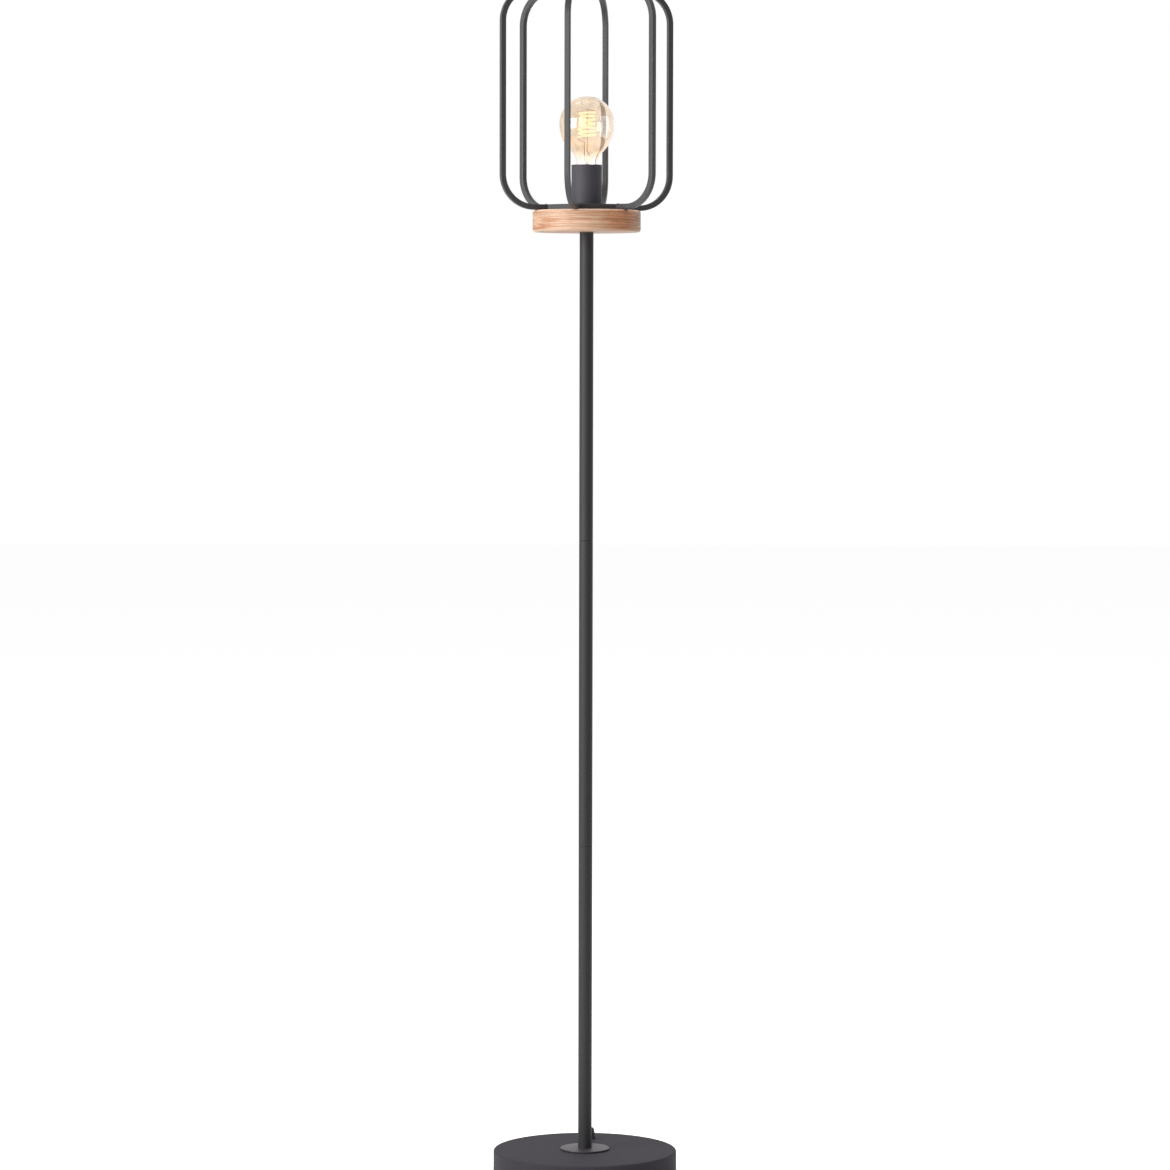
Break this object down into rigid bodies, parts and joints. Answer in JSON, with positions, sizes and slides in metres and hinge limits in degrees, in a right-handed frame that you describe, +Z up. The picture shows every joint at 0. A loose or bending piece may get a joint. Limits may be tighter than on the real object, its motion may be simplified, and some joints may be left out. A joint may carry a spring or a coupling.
{
  "type": "wire cage floor lamp",
  "caption": "Floor lamp with a weighted round base, a straight three-piece pole, a wooden disc and an open cage of bent square bars round a bulb.",
  "frame": {"origin": "centre of the base's underside, on the floor", "axes": "+Z up along the pole, -Y towards the viewer of the picture, +X to the viewer's right"},
  "size_m": [0.2, 0.2, 1.289],
  "materials": {
    "cage_paint": "black powder coat, satin",
    "pole_paint": "black powder coat, satin",
    "base_paint": "anthracite powder coat, fine texture",
    "rosette_paint": "dark grey, satin",
    "cup_paint": "black powder coat, satin",
    "zinc_steel": "zinc plated",
    "cast_iron": "as cast",
    "foam": "closed-cell foam, matt",
    "wood": "clear-lacquered hardwood, grain across the disc",
    "holder_plastic": "moulded phenolic",
    "brass": "bare",
    "gland_plastic": "moulded nylon",
    "lead_jacket": "flexible PVC",
    "core_jacket": "flexible PVC",
    "amber_glass": "blown, thin gold tint",
    "stem_glass": "clear",
    "cap_metal": "nickel-plated brass",
    "cap_insulator": "black vitreous glass",
    "cement": "matt",
    "solder": "tin solder",
    "circuit_board": "resin board with solder mask",
    "filament": "phosphor-coated, glowing",
    "wire": "nickel-plated wire"
  },
  "bodies": {
    "lamp": {"base_cover": "base_paint", "base_weight": "cast_iron", "base_pad": "foam", "foot_rosette": "rosette_paint", "foot_washer": "zinc_steel", "foot_nut": "zinc_steel", "foot_rod": "zinc_steel", "pole_lower": "pole_paint", "pole_middle": "pole_paint", "pole_upper": "pole_paint", "pole_bushes": "zinc_steel", "lower_joiner": "zinc_steel", "upper_joiner": "zinc_steel", "head_rod": "zinc_steel", "wood_disc": "wood", "cage_bar_front": "cage_paint", "cage_bar_front_right": "cage_paint", "cage_bar_back_right": "cage_paint", "cage_bar_back": "cage_paint", "cage_bar_back_left": "cage_paint", "cage_bar_front_left": "cage_paint", "cage_ring_lower": "cage_paint", "cage_ring_upper": "cage_paint", "cage_plate": "cage_paint", "plate_screws": "zinc_steel", "head_nut": "zinc_steel", "socket_cup": "cup_paint", "lampholder_body": "holder_plastic", "lampholder_shell": "brass", "centre_contact": "brass", "side_contact": "brass", "terminals": "brass", "cable_gland": "gland_plastic", "gland_nut": "gland_plastic", "flex": "lead_jacket", "cores": "core_jacket"},
    "bulb": {"bulb_glass": "amber_glass", "bulb_cap": "cap_metal", "bulb_cement": "cement", "bulb_insulator": "cap_insulator", "bulb_tip": "solder", "bulb_stem": "stem_glass", "bulb_filament": "filament", "filament_wires": "wire", "bulb_driver": "circuit_board", "lead_in_wires": "wire"}
  },
  "joints": [
    {"name": "bulb_lift", "type": "slide", "parent": "lamp", "child": "bulb", "axis": [0, 0, 1], "range_m": [0, 0.23]}
  ]
}
